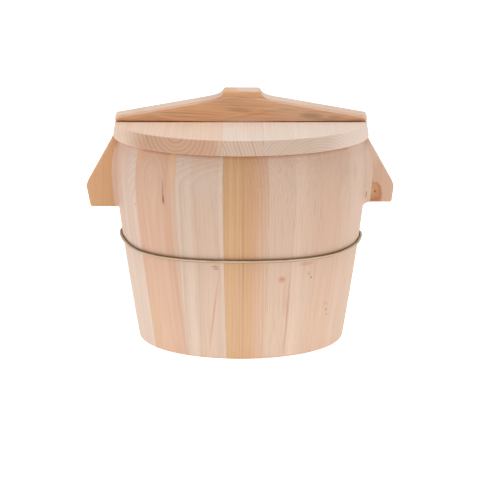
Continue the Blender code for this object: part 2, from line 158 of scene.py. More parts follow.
def addRoom():
    world = bpy.data.worlds.new("paleRoom")
    bpy.context.scene.world = world
    sheet = Sheet(world)
    strength = room["skyLight"] + seenDirectly(sheet) * (1 - room["skyLight"])
    sky = sheet.node("Background", {}, {"Color": (1, 1, 1, 1), "Strength": strength})
    sheet.node("OutputWorld", {}, {"Surface": sky})

    bpy.ops.mesh.primitive_plane_add(size=room["floorSize"])
    floor = bpy.context.object
    floor.name = "floor"
    finish = bpy.data.materials.new("paleFloor")
    sheet = Sheet(finish)
    paint = sheet.node("BsdfDiffuse", {}, {"Color": (*room["floorTone"], 1)})
    lift = room["floorGlow"] - room["floorBounce"]
    glow = sheet.node("Emission", {}, {
        "Color": (1, 1, 1, 1), "Strength": room["floorBounce"] + seenDirectly(sheet) * lift})
    both = sheet.node("AddShader", {}, {0: paint, 1: glow})
    sheet.node("OutputMaterial", {}, {"Surface": both})
    floor.data.materials.append(finish)

    for name, (place, (tilt, turn), size, watts) in room["softboxes"].items():
        bpy.ops.object.light_add(
            type="AREA", location=place, rotation=(math.radians(tilt), 0, math.radians(turn)))
        lamp = bpy.context.object
        lamp.name = name
        lamp.data.size = size
        lamp.data.energy = watts


bpy.ops.object.camera_add(location=shot["place"], rotation=(math.radians(shot["tilt"]), 0, 0))
camera = bpy.context.object
camera.data.lens = shot["lens"]
bpy.context.scene.camera = camera
bpy.context.scene.view_settings.view_transform = "Standard"
addRoom()
print("camera, floor and light placed")


# wood

tones = {       # planed fir, as seen on screen in even light
    name: screen(*levels) for name, levels in {
        "blush": (224, 195, 175), "milk": (228, 203, 186), "cream": (221, 190, 167),
        "oat": (217, 187, 165), "ash": (220, 195, 175), "sand": (218, 183, 159),
        "peach": (223, 182, 155), "fawn": (214, 172, 143), "rose": (208, 160, 134),
        "honey": (210, 166, 126), "wheat": (215, 176, 147), "amber": (216, 168, 124),
        "tan": (214, 178, 152), "copper": (225, 175, 133), "moss": (168, 146, 110),
        "ember": (203, 132, 94), "umber": (146, 92, 68), "bark": (98, 60, 46), "linen": (239, 208, 185),
        "cloud": (238, 218, 202), "mist": (207, 184, 170), "clay": (196, 143, 112),
        "late": (190, 143, 110), "cocoa": (166, 116, 84), "caramel": (176, 122, 76),
        "rust": (170, 104, 62), "slate": (178, 148, 128), "biscuit": (213, 188, 169),
        "straw": (222, 186, 130), "frost": (232, 219, 205), "clove": (206, 166, 139),
        "pearl": (233, 212, 196)}.items()}
endTint = screen(226, 214, 200)     # darkens wood that is cut across and has no end tones

grains = {      # noises in the wood: changes per mm across and along the grain, and detail
    "slow": (0.045, 0.011, 1.5), "broad": (0.13, 0.005, 2.0), "fibre": (0.55, 0.012, 3.0),
    "comb": (1.3, 0.02, 3.0), "hair": (3.2, 0.09, 2.0)}

planed = {      # what all the planed fir shares: "From" is where a mask starts, "Rise" how steeply
    "roughness": 0.56, "hairRough": 0.12, "lateRough": 0.08, "cutRough": 0.08, "shine": 0.32,
    "bumps": 0.35, "bumpDepth": 0.00012, "hairBump": 0.5, "fibreBump": 0.3, "lateBump": 0.35,
    "hair": 0.16, "combFrom": 0.53, "combRise": 6, "ringRipple": 0.6, "toneWander": 0.05,
    "markBody": 0.7, "markRipple": 0.6, "bendFade": 0.12, "topLightFrom": 1, "topLightRise": 3,
    "bandRise": 4, "bandRipple": 2, "goldenShare": 0.5, "cutFrom": 1.3, "cutRise": 3.4}

lateWood = {        # how it darkens through a year and ends, and the faint years between
    "power": 3, "end": 9, "vigour": 0.6, "least": 0.4, "faintShift": 0.4, "faintEnd": 7,
    "faintShare": 0.3}

# a paler foot is painted light from below; a deeper neck and a dark lip are painted shade under the lid
paintedShading = {     # painted light and shade on the staves, by height in mm
    "footTop": 100, "footFade": 90, "footPaintedLight": (1.14, 1.2, 1.23, 1),
    "neckFoot": 95, "neckFade": 55, "neckPaintedShade": (0.92, 0.93, 0.94, 1),
    "lipFoot": 162.4, "lipFade": 2.4, "lipPaintedShadow": 0.45, "outerRise": 3}


def even(tone):
    return [(0.0, tone), (1.0, tone)]


plainWood = {
    "turn": (0, 0, 0),      # degrees: brings the grain to Z and the outer face to -Y
    "tones": even("oat"),       # across the piece, from its left edge to its right
    "span": None,       # how the piece lies: its left and right edges, in mm from the middle
    "halfAngle": None,      # or half its angle, for a stave
    "lean": None,       # how much the grain leans outwards, and from which height
    "pith": (60, 30),       # middle of the trunk, in mm across and in from the axis
    "ring": 2.6,        # from one strong year line to the next, in mm
    "between": 2,       # how many years that is: the others are faint
    "crown": None,      # height over which the rings close into arches, and how fast
    "lines": 0.5,       # strength of the strong lines
    "lineTone": "late",
    "drift": 5.0,       # how far the rings wander, in mm
    "bands": 0.2,       # strength of the soft bands: rose, milky and golden
    "streaks": 0.25,    # strength of the fine streaks
    "marks": [],        # knots, streaks and patches
    "flankMarks": [],       # those on an ear's side, placed by their depth
    "paintedShadingAmount": 0.0,       # strength of the painted light at the foot and the painted shade by the lid
    "endTones": None,       # across the piece where the grain is cut across, or
    "endGrain": 0.5,        # how much darker it is there
    "endLines": 1.6,        # how much stronger the lines are there
    "paintedTopLight": None,        # painted light on the faces that look up: its tone and strength
    "seed": 0}


def mark(across, along, wide, tall, tone, strength, **more):        # in mm; half its width and height
    return {"at": (across, along), "size": (wide, tall), "tone": tone, "strength": strength, **more}


def markMask(sheet, spot, across, along, ripple):
    # 1 at the middle of a mark, falling to 0 at its edge, and how far off a place is
    lean = (along - spot["at"][1]) * spot.get("lean", 0.0)
    sideways = (across - spot["at"][0] - lean) / spot["size"][0]
    endways = (along - spot["at"][1]) / spot["size"][1]
    off = sideways * sideways + endways * endways
    off = off * (planed["markBody"] + ripple * planed["markRipple"])
    return sheet.clamp(1 - off) ** spot.get("edge", 1.0), off


def grain(sheet, kind, local, seeds, out="Fac"):
    across, along, detail = grains[kind]
    return sheet.noise(local, (across, across, along), seeds, detail, out)


def ramp(sheet, stops, share):
    placed = [(place, tones[tone]) for place, tone in stops]
    return sheet.node("ValToRGB", {"stops": placed}, {0: share}, out="Color")


def yearLines(sheet, wood, radius):     # 1 on the dark late wood of a strong year
    years = radius / wood["ring"]
    growth = sheet.maths("FRACT", years)
    year = sheet.maths("FLOOR", years) + wood["seed"]
    vigour = sheet.node("TexWhiteNoise", {"noise_dimensions": "1D"}, {"W": year}, "Value")
    faint = sheet.maths("FRACT", years * wood["between"] + lateWood["faintShift"])
    late = growth ** lateWood["power"] * sheet.clamp((1 - growth) * lateWood["end"])
    late = late * (vigour * lateWood["vigour"] + lateWood["least"])
    faint = faint * faint * sheet.clamp((1 - faint) * lateWood["faintEnd"])
    return sheet.clamp(late + faint * lateWood["faintShare"])


def softBands(sheet, wood, colour, broad, fibre):       # rose, milky and golden
    warmth, depth, third = sheet.node(
        "SeparateColor", {}, {0: broad}, out=("Red", "Green", "Blue"))
    ripple = (fibre - 0.5) * planed["bandRipple"]
    warm = sheet.clamp((warmth - 0.5) * planed["bandRise"] + ripple)
    colour = sheet.blend(warm * wood["bands"], colour, tones["rose"])
    pale = sheet.clamp((depth - 0.5) * planed["bandRise"] - ripple)
    colour = sheet.blend(pale * wood["bands"], colour, tones["milk"])
    golden = sheet.clamp((third - 0.5) * planed["bandRise"])
    return sheet.blend(golden * wood["bands"] * planed["goldenShare"], colour, tones["wheat"])


# painted light at the foot and painted shade by the lid, blended into the wood's colour
def paintShading(sheet, amount, colour, along, inwardFace):
    foot = sheet.clamp((paintedShading["footTop"] - along) / paintedShading["footFade"]) * amount
    colour = sheet.blend(foot, colour, paintedShading["footPaintedLight"], "MULTIPLY")
    neck = sheet.clamp((along - paintedShading["neckFoot"]) / paintedShading["neckFade"]) * amount
    colour = sheet.blend(neck, colour, paintedShading["neckPaintedShade"], "MULTIPLY")
    lipShadow = sheet.clamp((along - paintedShading["lipFoot"]) / paintedShading["lipFade"])
    # painted shadow under the lid's rim, on the outer face
    lipShadow = lipShadow * sheet.clamp(inwardFace * -paintedShading["outerRise"])
    return sheet.blend(lipShadow * amount * paintedShading["lipPaintedShadow"], colour, tones["umber"])


def woodFinish(name, look):
    wood = {**plainWood, **look}
    seed = wood["seed"]
    material = bpy.data.materials.new(name)
    sheet = Sheet(material)
    turn = [math.radians(angle) for angle in wood["turn"]]
    place, facing = sheet.node("TexCoord", out=("Object", "Normal"))
    local = sheet.node("Mapping", {}, {
        "Vector": place, "Rotation": turn, "Scale": (millimetres,) * 3})
    outwards = 0.0
    if wood["lean"]:        # the grain follows the wall
        slope, level = wood["lean"]
        outwards = (sheet.split(local, "Z") - level) * slope
        shift = sheet.node("CombineXYZ", {}, {"Y": outwards})
        local = sheet.node("VectorMath", {"operation": "ADD"}, {0: local, 1: shift})
    across, deep, along = sheet.split(local, ("X", "Y", "Z"))
    face = sheet.node("Mapping", {"vector_type": "VECTOR"}, {"Vector": facing, "Rotation": turn})
    inwardFace, endways = sheet.split(face, ("Y", "Z"))
    # 1 on end grain
    cut = sheet.clamp(sheet.maths("ABSOLUTE", endways) * planed["cutRise"] - planed["cutFrom"])

    slow = grain(sheet, "slow", local, (seed, seed * 2.3, 5))
    broad = grain(sheet, "broad", local, (seed * 1.3, 4, seed), "Color")
    fibre = grain(sheet, "fibre", local, (3, seed, seed * 1.7))
    comb = grain(sheet, "comb", local, (seed * 2.1, 9, seed * 0.7))
    hair = grain(sheet, "hair", local, (seed * 3.1, 7, seed))
    masks = [(spot, *markMask(sheet, spot, across, along, fibre)) for spot in wood["marks"]]
    masks += [(spot, *markMask(sheet, spot, deep, along, fibre)) for spot in wood["flankMarks"]]

    # year rings
    sideways = across - wood["pith"][0]
    inwards = deep - wood["pith"][1]
    radius = (sideways * sideways + inwards * inwards) ** 0.5
    radius = radius + (slow - 0.5) * wood["drift"] + (fibre - 0.5) * planed["ringRipple"]
    if wood["crown"]:
        level, closing = wood["crown"]
        above = sheet.maths("MAXIMUM", along - level, 0.0)
        radius = radius + above * above * closing
    for spot, _, off in masks:      # the lines bend round a knot
        if "bend" in spot:
            radius = radius + sheet.clamp(1 - off * planed["bendFade"]) ** 2 * spot["bend"]
    late = yearLines(sheet, wood, radius)

    # tone across the piece
    if wood["halfAngle"]:
        turned = sheet.maths("ARCTAN2", across, outwards - deep)
        share = turned / math.radians(wood["halfAngle"] * 2) + 0.5
    else:
        left, right = wood["span"]
        share = (across - left) / (right - left)
    share = share + (slow - 0.5) * planed["toneWander"]
    colour = softBands(sheet, wood, ramp(sheet, wood["tones"], share), broad, fibre)
    if wood["endTones"]:
        colour = sheet.blend(cut, colour, ramp(sheet, wood["endTones"], share))
    else:
        colour = sheet.blend(cut * wood["endGrain"], colour, endTint, "MULTIPLY")
    combed = sheet.clamp((comb - planed["combFrom"]) * planed["combRise"]) * (1 - cut)
    colour = sheet.blend(combed * wood["streaks"], colour, tones[wood["lineTone"]])
    strength = sheet.clamp(late * wood["lines"] * (1 + cut * wood["endLines"]))
    colour = sheet.blend(strength, colour, tones[wood["lineTone"]])
    if wood["paintedTopLight"]:
        # painted light: faces that look up are made paler
        tone, amount = wood["paintedTopLight"]
        litFromAbove = sheet.clamp(sheet.split(facing, "Z") * planed["topLightRise"] - planed["topLightFrom"])
        colour = sheet.blend(litFromAbove * amount, colour, tones[tone])
    # painted light at the foot, painted shade by the lid
    if wood["paintedShadingAmount"]:
        colour = paintShading(sheet, wood["paintedShadingAmount"], colour, along, inwardFace)
    colour = sheet.blend((hair - 0.5) * planed["hair"], colour, tones["late"])
    for spot, mask, _ in masks:
        colour = sheet.blend(mask * spot["strength"], colour, tones[spot["tone"]])

    rough = planed["roughness"] + hair * planed["hairRough"] - late * planed["lateRough"]
    rough = rough + cut * planed["cutRough"]
    # the late wood is worn a little lower
    height = hair * planed["hairBump"] + fibre * planed["fibreBump"] - late * planed["lateBump"]
    bumps = sheet.node("Bump", {}, {
        "Strength": planed["bumps"], "Distance": planed["bumpDepth"], "Height": height})
    finish = sheet.node("BsdfPrincipled", {}, {
        "Base Color": colour, "Roughness": rough, "Normal": bumps,
        "Specular IOR Level": planed["shine"]})
    sheet.node("OutputMaterial", {}, {"Surface": finish})
    return material


# modelling helpers

def alone(piece):
    bpy.ops.object.select_all(action="DESELECT")
    piece.select_set(True)
    bpy.context.view_layer.objects.active = piece


def edit(piece):
    alone(piece)
    bpy.ops.object.mode_set(mode="EDIT")
    bpy.ops.mesh.select_all(action="DESELECT")


def leave(piece, crease=30):        # back to object mode, with smooth shading
    bpy.ops.mesh.select_all(action="SELECT")
    bpy.ops.mesh.remove_doubles(threshold=near / 4)
    bpy.ops.mesh.normals_make_consistent(inside=False)
    bpy.ops.object.mode_set(mode="OBJECT")
    bpy.ops.object.shade_smooth_by_angle(angle=math.radians(crease))


def settle(piece):      # its place goes into its mesh
    alone(piece)
    bpy.ops.object.transform_apply(location=True, rotation=True, scale=True)


def addBlock(size, middle):
    bpy.ops.mesh.primitive_cube_add(size=1, location=middle, scale=size)
    block = bpy.context.object
    settle(block)
    return block


def addRound(radius, height, facets, level=0):      # upright, its middle at the level
    bpy.ops.mesh.primitive_cylinder_add(
        vertices=facets, radius=radius, depth=height, location=(0, 0, level))
    solid = bpy.context.object
    settle(solid)
    return solid


def copyOf(piece, name):
    twin = piece.copy()
    twin.data = piece.data.copy()
    twin.name = twin.data.name = name
    bpy.context.collection.objects.link(twin)
    return twin


def pick(piece, kind, wanted):      # selects what wanted() is true for
    bpy.ops.mesh.select_all(action="DESELECT")
    bpy.ops.mesh.select_mode(type=kind)
    mesh = bmesh.from_edit_mesh(piece.data)
    mesh.normal_update()
    parts = {"VERT": mesh.verts, "EDGE": mesh.edges, "FACE": mesh.faces}[kind]
    chosen = [part for part in parts if wanted(part)]
    for part in chosen:
        part.select_set(True)
    mesh.select_flush_mode()
    bmesh.update_edit_mesh(piece.data)


def sharp(edge, least=40):
    return len(edge.link_faces) == 2 and edge.calc_face_angle() > math.radians(least)


def cutAt(place, direction):
    bpy.ops.mesh.select_all(action="SELECT")
    bpy.ops.mesh.bisect(plane_co=place, plane_no=direction)


def extrude(rise):      # draws the selected faces up, or down
    bpy.ops.mesh.extrude_region_move(TRANSFORM_OT_translate={"value": (0, 0, rise)})


def ease(width, segments=1):        # bevels the edges that are selected
    bpy.ops.mesh.bevel(offset=width, segments=segments, affect="EDGES")


def trim(place, direction):     # keeps what lies behind the plane
    bpy.ops.mesh.select_all(action="SELECT")
    bpy.ops.mesh.bisect(plane_co=place, plane_no=direction, use_fill=True, clear_outer=True)


def carve(piece, tool, operation):
    modifier = piece.modifiers.new(operation.lower(), "BOOLEAN")
    modifier.operation = operation
    modifier.solver = "EXACT"
    modifier.object = tool
    alone(piece)
    bpy.ops.object.modifier_apply(modifier=modifier.name)


def dress(piece, node, body, look):
    piece.data.materials.clear()
    piece.data.materials.append(look)
    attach(piece, body)
    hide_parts(node)


# staves

bucket = {
    "mouth": 0.166, "belly": 0.136, "bellyRadius": 0.1019, "mouthDraw": 0.0039,
    "footDraw": 0.0189, "taper": 1.225, "shoulder": 2.3, "wall": 0.0135,
    "footRound": 0.0026, "lipRound": 0.0007, "ledge": 0.024, "ledgeWidth": 0.005,
    "rowStep": 0.0055, "topRowStep": 0.003, "shelfStep": 0.0005,
    "arcStep": 1.6,     # degrees
    "jointSlack": 0.0005,       # radians
    "hairline": 0.00002, "easedEdge": 0.00007,
    "frontShares": (29.1, 24.6, 22.2, 20.2, 12.6, 13.5, 20.7, 24.9),
    "backShares": (22.6, 17.4, 26.0, 19.2, 24.4, 14.9, 21.1, 22.2)}

ear = {
    "thickness": 0.0225, "tip": 0.1267, "topOut": {"left": 0.0051, "right": 0.0035},
    "tipOut": {"left": 0.0233, "right": 0.0217}, "footOut": {"left": 0.0197, "right": 0.0199},
    "nose": {"left": 0.0176, "right": 0.0138},
    "fillet": {"left": 0.0, "right": 0.0045}, "filletSteps": 5, "filletCrowding": 1.6,   # below the ear
    "chamfer": 0.0009, "flatOut": 0.0042, "planedPast": 0.0008, "chamferPast": 0.0006,
    "arcSteps": 8, "swellRise": {"left": 0.0032, "right": 0.0053}, "swellWidth": 0.0075,
    "swellFade": 0.145, "swellSteps": 7}

earHalfAngle = math.degrees(math.asin(
    ear["thickness"] / 2 / (bucket["bellyRadius"] + ear["flatOut"])))
earFlat = ear["thickness"] / 2 / math.tan(math.radians(earHalfAngle))   # sides parallel past here
earFoot = {side: ear["tip"] - nose for side, nose in ear["nose"].items()}
earAngle = {"right": 90, "left": 270}
hairAngle = math.degrees(bucket["hairline"] / bucket["bellyRadius"])


def outerRadius(z):
    if z <= bucket["belly"]:
        drop = (bucket["belly"] - z) / bucket["belly"]
        return bucket["bellyRadius"] - bucket["footDraw"] * drop ** bucket["taper"]
    rise = (z - bucket["belly"]) / (bucket["mouth"] - bucket["belly"])
    return bucket["bellyRadius"] - bucket["mouthDraw"] * rise ** bucket["shoulder"]


def innerRadius(z):
    return outerRadius(min(z, bucket["belly"])) - bucket["wall"]


def rowHeights(side):       # where the wall's section is cut, with rows at the ear's underside
    foot = earFoot[side]
    count = round(foot / bucket["rowStep"])
    fillet = ear["fillet"][side]
    rows = [foot * i / count for i in range(1, count) if foot * (1 - i / count) > fillet]
    if fillet:
        steps = ear["filletSteps"]
        crowding = ear["filletCrowding"]
        rows += [foot - fillet * (1 - i / steps) ** crowding for i in range(steps)]
    rows += [foot, foot + bucket["shelfStep"], ear["tip"]]
    count = round((bucket["mouth"] - ear["tip"]) / bucket["topRowStep"])
    rows += [ear["tip"] + (bucket["mouth"] - ear["tip"]) * i / count for i in range(1, count)]
    return rows


def rootFillet(z, side):        # how far the hollow under an ear reaches out, at a height
    below = earFoot[side] - z
    fillet = ear["fillet"][side]
    if below < -near or below >= fillet:
        return 0.0
    return fillet * (1 - math.sqrt(1 - (1 - max(below, 0) / fillet) ** 2))


def addSection(side):       # the wall cut through at the right: one flat face to be spun
    wall, mouth = bucket["wall"], bucket["mouth"]
    rows = rowHeights(side)
    middle = bucket["bellyRadius"] - wall / 2
    bpy.ops.mesh.primitive_plane_add(
        size=wall, location=(middle, 0, mouth / 2), rotation=(math.radians(90), 0, 0))
    section = bpy.context.object
    section.name = f"{side}WallSection"
    section.scale.y = mouth / wall
    settle(section)
    edit(section)
    for z in rows:
        cutAt((0, 0, z), (0, 0, 1))
    for z in (0, *rows, mouth):
        pick(section, "VERT", lambda v: v.co.x < middle and abs(v.co.z - z) < near)
        bpy.ops.transform.translate(value=(innerRadius(z) - bucket["bellyRadius"] + wall, 0, 0))
        pick(section, "VERT", lambda v: v.co.x > middle and abs(v.co.z - z) < near)
        bpy.ops.transform.translate(value=(outerRadius(z) - bucket["bellyRadius"], 0, 0))

    ledge = bucket["ledge"]
    bore = innerRadius(ledge) - bucket["ledgeWidth"]
    pick(section, "EDGE", lambda e: all(
        v.co.z < ledge + near and v.co.x < innerRadius(v.co.z) + near for v in e.verts))
    bpy.ops.mesh.extrude_edges_move(
        TRANSFORM_OT_translate={"value": (-bucket["ledgeWidth"], 0, 0)})
    bpy.ops.transform.resize(value=(0, 1, 1), center_override=(bore, 0, 0))

    corners = (
        (outerRadius(0), 0, bucket["footRound"], 5), (bore, 0, bucket["lipRound"], 2),
        (bore, ledge, bucket["lipRound"], 2), (outerRadius(mouth), mouth, bucket["lipRound"], 3),
        (innerRadius(mouth), mouth, bucket["lipRound"], 3))
    for x, z, rounding, steps in corners:
        pick(section, "VERT", lambda v: abs(v.co.x - x) < near and abs(v.co.z - z) < near)
        bpy.ops.mesh.bevel(offset=rounding, segments=steps, affect="VERTICES")
    bpy.ops.object.mode_set(mode="OBJECT")
    return section


def sweep(angle, steps):
    bpy.ops.mesh.spin(steps=steps, angle=math.radians(angle), center=(0, 0, 0), axis=(0, 0, -1))


def turnOf(spot):       # degrees round the bucket
    return math.degrees(math.atan2(spot.x, -spot.y)) % 360


def swell(distance, z, side):       # how far a stave stands out beside an ear
    if distance >= ear["swellWidth"]:
        return 0.0
    closeness = 1 - distance / ear["swellWidth"]
    rise = ear["swellRise"][side] * (1 - math.sqrt(1 - closeness ** 2))
    if z < earFoot[side] + near:
        return rise * rootFillet(z, side) / ear["fillet"][side] if ear["fillet"][side] else 0.0
    if z > ear["swellFade"]:
        rise *= 1 - ((z - ear["swellFade"]) / (bucket["mouth"] - ear["swellFade"])) ** 2
    return rise


def addStave(section, name, start, end, side, earAt=None):
    first, last = start + hairAngle, end - hairAngle
    stave = copyOf(section, name)
    stave.rotation_euler.z = math.radians(first - 90)
    settle(stave)
    edit(stave)
    bpy.ops.mesh.select_all(action="SELECT")
    zone = math.degrees(ear["swellWidth"] / bucket["bellyRadius"])      # beside an ear
    plain = last - first - zone if earAt else last - first
    if earAt == "start":
        sweep(zone, ear["swellSteps"])
    sweep(plain, round(plain / bucket["arcStep"]))
    if earAt == "end":
        sweep(zone, ear["swellSteps"])
    if earAt:
        joint = math.radians(first if earAt == "start" else last)
        mesh = bmesh.from_edit_mesh(stave.data)
        for v in mesh.verts:
            radius = math.hypot(v.co.x, v.co.y)
            if radius > outerRadius(v.co.z) - bucket["wall"] / 4:
                away = abs(math.remainder(math.atan2(v.co.x, -v.co.y) - joint, math.tau))
                grow = 1 + swell(away * radius, v.co.z, side) / radius
                v.co.x, v.co.y = v.co.x * grow, v.co.y * grow
        bmesh.update_edit_mesh(stave.data)
    edges = [math.radians(first), math.radians(last)]

    def atJoint(v):
        offs = [math.remainder(math.atan2(v.co.x, -v.co.y) - edge, math.tau) for edge in edges]
        return any(abs(off) < bucket["jointSlack"] for off in offs)

    pick(stave, "EDGE", lambda e: sharp(e, least=50) and all(atJoint(v) for v in e.verts))
    ease(bucket["easedEdge"])
    leave(stave)
    return stave


def earReach(z, side):
    tip = bucket["bellyRadius"] + ear["tipOut"][side]
    if z <= ear["tip"]:
        foot = bucket["bellyRadius"] + ear["footOut"][side]
        return foot + (z - earFoot[side]) / ear["nose"][side] * (tip - foot)
    share = (z - ear["tip"]) / (bucket["mouth"] - ear["tip"])
    top = bucket["bellyRadius"] - bucket["mouthDraw"] + ear["topOut"][side]
    return tip + share * (top - tip)


def addEarStave(section, name, side, middle):
    stave = copyOf(section, name)
    edit(stave)
    foot = earFoot[side]
    shelf = bucket["shelfStep"]     # the row just above the underside is let down on it
    mesh = bmesh.from_edit_mesh(stave.data)
    for v in mesh.verts:
        if v.co.x > outerRadius(v.co.z) - bucket["wall"] / 4:
            if v.co.z < foot + shelf / 2:
                v.co.x += rootFillet(v.co.z, side)
            else:
                if v.co.z < foot + shelf * 1.5:
                    v.co.z = foot
                v.co.x += earReach(v.co.z, side) - outerRadius(v.co.z)
    bmesh.update_edit_mesh(stave.data)
    cutAt((earFlat, 0, 0), (1, 0, 0))
    bpy.ops.object.mode_set(mode="OBJECT")

    half = earHalfAngle - hairAngle
    stave.rotation_euler.z = math.radians(-half)
    settle(stave)
    edit(stave)
    bpy.ops.mesh.select_all(action="SELECT")
    sweep(2 * half, ear["arcSteps"])
    mesh = bmesh.from_edit_mesh(stave.data)
    for v in mesh.verts:        # the ear's faces are planed flat and its sides parallel
        radius = math.hypot(v.co.x, v.co.y)
        if v.co.z > foot - near and radius > outerRadius(v.co.z) + ear["planedPast"]:
            share = math.degrees(math.atan2(v.co.y, v.co.x)) / half
            v.co.x = radius
            v.co.y = min(radius, earFlat) * math.tan(math.radians(half)) * share
    bmesh.update_edit_mesh(stave.data)

    def onEar(v):
        root = max(ear["fillet"][side], ear["chamferPast"])
        return v.co.z > foot - near and v.co.x > outerRadius(v.co.z) + root

    pick(stave, "EDGE", lambda e: sharp(e, least=12) and all(onEar(v) for v in e.verts))
    ease(ear["chamfer"])
    pick(stave, "EDGE", lambda e: sharp(e, least=60))
    ease(bucket["easedEdge"])
    bpy.ops.object.mode_set(mode="OBJECT")
    stave.rotation_euler.z = math.radians(middle - 90)
    settle(stave)
    edit(stave)
    leave(stave, crease=20)
    return stave


staveLooks = {
    "front_1": {
        "tones": [(0.0, "sand"), (0.2, "blush"), (0.42, "blush"), (0.54, "milk"), (0.62, "milk"),
                  (0.7, "blush"), (0.92, "milk")],
        "pith": (24, -84), "ring": 3.3, "crown": (116, 0.012), "lines": 0.34, "lineTone": "clay",
        "drift": 3, "paintedShadingAmount": 0.6,
        "marks": [mark(22.5, 120, 0.9, 1.3, "umber", 0.5), mark(-10, 154, 24, 26, "peach", 0.6),
                  mark(-4, 20, 40, 80, "frost", 0.26)]},
    "front_2": {
        "tones": [(0.0, "fawn"), (0.04, "peach"), (0.6, "peach"), (0.8, "fawn"), (0.9, "sand")],
        "pith": (-1, -86), "crown": (136, 0.014), "lines": 0.42, "lineTone": "clay", "drift": 2.5,
        "marks": [mark(0, 15, 60, 80, "cream", 0.25), mark(-18, 80, 1.8, 90, "copper", 0.4),
                  mark(-12, 24, 5, 44, "straw", 0.3),
                  mark(-19, 160, 6, 10, "copper", 0.75), mark(18, 157, 5, 26, "copper", 0.5),
                  mark(15.5, 50, 2.5, 70, "rose", 0.45),
                  mark(11.6, 106, 1.7, 24, "fawn", 0.8, lean=-0.03),
                  mark(10.1, 135, 1.2, 11.5, "cocoa", 0.6),
                  mark(10.1, 128.4, 1.3, 4.6, "umber", 0.9, bend=-2.0)]},
    "front_3": {
        "tones": [(0.0, "ash"), (0.3, "ash"), (0.36, "oat"), (0.92, "oat"), (0.96, "ash")],
        "pith": (18, -85), "ring": 9.6, "between": 4, "crown": (140, 0.075), "lines": 0.42,
        "lineTone": "slate", "drift": 2.5, "bands": 0.1,
        "marks": [mark(6, 143, 12, 14, "mist", 0.5), mark(16.8, 85, 1.4, 90, "ash", 0.6),
                  mark(14, 26, 5, 34, "ash", 0.6), mark(8.5, 40, 1.1, 38, "rose", 0.7, lean=0.175),
                  mark(11.6, 77.3, 3.8, 1.0, "rust", 0.6, bend=-1.5),
                  mark(12.2, 75.4, 3.0, 0.9, "rust", 0.55)]},
    "front_4": {
        "tones": [(0.0, "honey"), (0.62, "honey"), (0.8, "wheat"), (1.0, "sand")],
        "pith": (90, -60), "lineTone": "caramel", "bands": 0.1,
        "marks": [mark(0, 0, 60, 90, "cream", 0.22), mark(0, 165, 60, 60, "caramel", 0.2),
                  mark(-11.5, 80, 2.2, 130, "straw", 0.35), mark(-6, 120, 1.2, 80, "straw", 0.3),
                  mark(-2, 100, 1.4, 130, "caramel", 0.22)]},
    "front_5": {
        "tones": even("oat"), "pith": (-60, -50), "ring": 1.9, "lines": 0.3, "streaks": 0.45,
        "marks": [mark(6.5, 44, 2.5, 12, "rose", 0.3), mark(8.6, 40, 0.8, 38, "clay", 0.7, lean=0.016),
                  mark(2.3, 66, 4.2, 3.4, "ember", 0.55), mark(2.8, 66, 2.0, 1.6, "clay", 0.6)]},
    "front_6": {
        "tones": [(0.0, "blush"), (0.2, "blush"), (0.42, "cream"), (0.6, "oat"), (1.0, "sand")],
        "pith": (-70, -70), "lines": 0.3, "streaks": 0.35,
        "marks": [mark(1.8, 77, 8.0, 2.0, "clay", 0.5), mark(5.3, 68.5, 2.0, 2.2, "clay", 0.4),
                  mark(7.5, 65, 0.9, 1.0, "bark", 0.8)]},
    "front_7": {
        "tones": [(0.0, "sand"), (0.55, "sand"), (1.0, "cream")],
        "pith": (14, -80), "ring": 5.0, "crown": (108, 0.006), "lines": 0.18,
        "marks": [mark(9, 146, 9, 12, "slate", 0.15), mark(-0.2, 40.3, 3.0, 1.6, "clay", 0.35),
                  mark(1.75, 34.8, 1.0, 1.3, "bark", 0.7), mark(3.1, 30.3, 0.9, 1.2, "umber", 0.7)]},
    "front_8": {
        "tones": even("cream"), "pith": (30, -70), "ring": 4.0, "lines": 0.14, "paintedShadingAmount": 0.6,
        "marks": [mark(4, 142, 30, 60, "milk", 0.45), mark(-15, 144, 5, 8, "slate", 0.2),
                  mark(18, 37, 3.0, 9, "umber", 0.75),
                  mark(19.8, 119.5, 0.9, 3.8, "umber", 0.75), mark(18.5, 157, 0.7, 2.5, "cocoa", 0.35)]},
    "back_1": {
        "tones": [(0.0, "blush"), (0.7, "sand"), (1.0, "oat")], "pith": (40, -60), "ring": 3.0,
        "lines": 0.25},
    "back_2": {
        "tones": [(0.0, "honey"), (0.6, "honey"), (0.7, "sand")], "pith": (-70, -60), "ring": 2.4,
        "lines": 0.45, "lineTone": "caramel"},
    "back_3": {
        "tones": [(0.0, "sand"), (0.5, "peach"), (1.0, "sand")], "pith": (0, -86), "ring": 3.6,
        "crown": (96, 0.004), "lines": 0.4, "lineTone": "clay", "drift": 3,
        "marks": [mark(-6, 58, 2.0, 3.0, "umber", 0.7, bend=-1.5)]},
    "back_4": {
        "tones": [(0.0, "ash"), (0.4, "cream"), (1.0, "cream")], "pith": (60, -50), "ring": 2.2,
        "lines": 0.28, "streaks": 0.45},
    "back_5": {
        "tones": [(0.0, "peach"), (0.4, "fawn"), (0.6, "peach"), (1.0, "sand")],
        "pith": (-6, -84), "ring": 3.2, "crown": (70, 0.0022), "lines": 0.4, "lineTone": "clay",
        "drift": 4},
    "back_6": {
        "tones": [(0.0, "ash"), (0.5, "oat"), (1.0, "ash")], "pith": (70, -60), "ring": 1.8,
        "lines": 0.28, "streaks": 0.5},
    "back_7": {
        "tones": [(0.0, "sand"), (0.2, "honey"), (1.0, "honey")], "pith": (60, -64), "ring": 2.4,
        "lines": 0.45, "lineTone": "caramel"},
    "back_8": {
        "tones": [(0.0, "cream"), (0.6, "blush"), (1.0, "sand")], "pith": (20, -78), "ring": 3.8,
        "crown": (100, 0.005), "lines": 0.26,
        "marks": [mark(-4, 96, 1.6, 2.4, "umber", 0.6)]}}

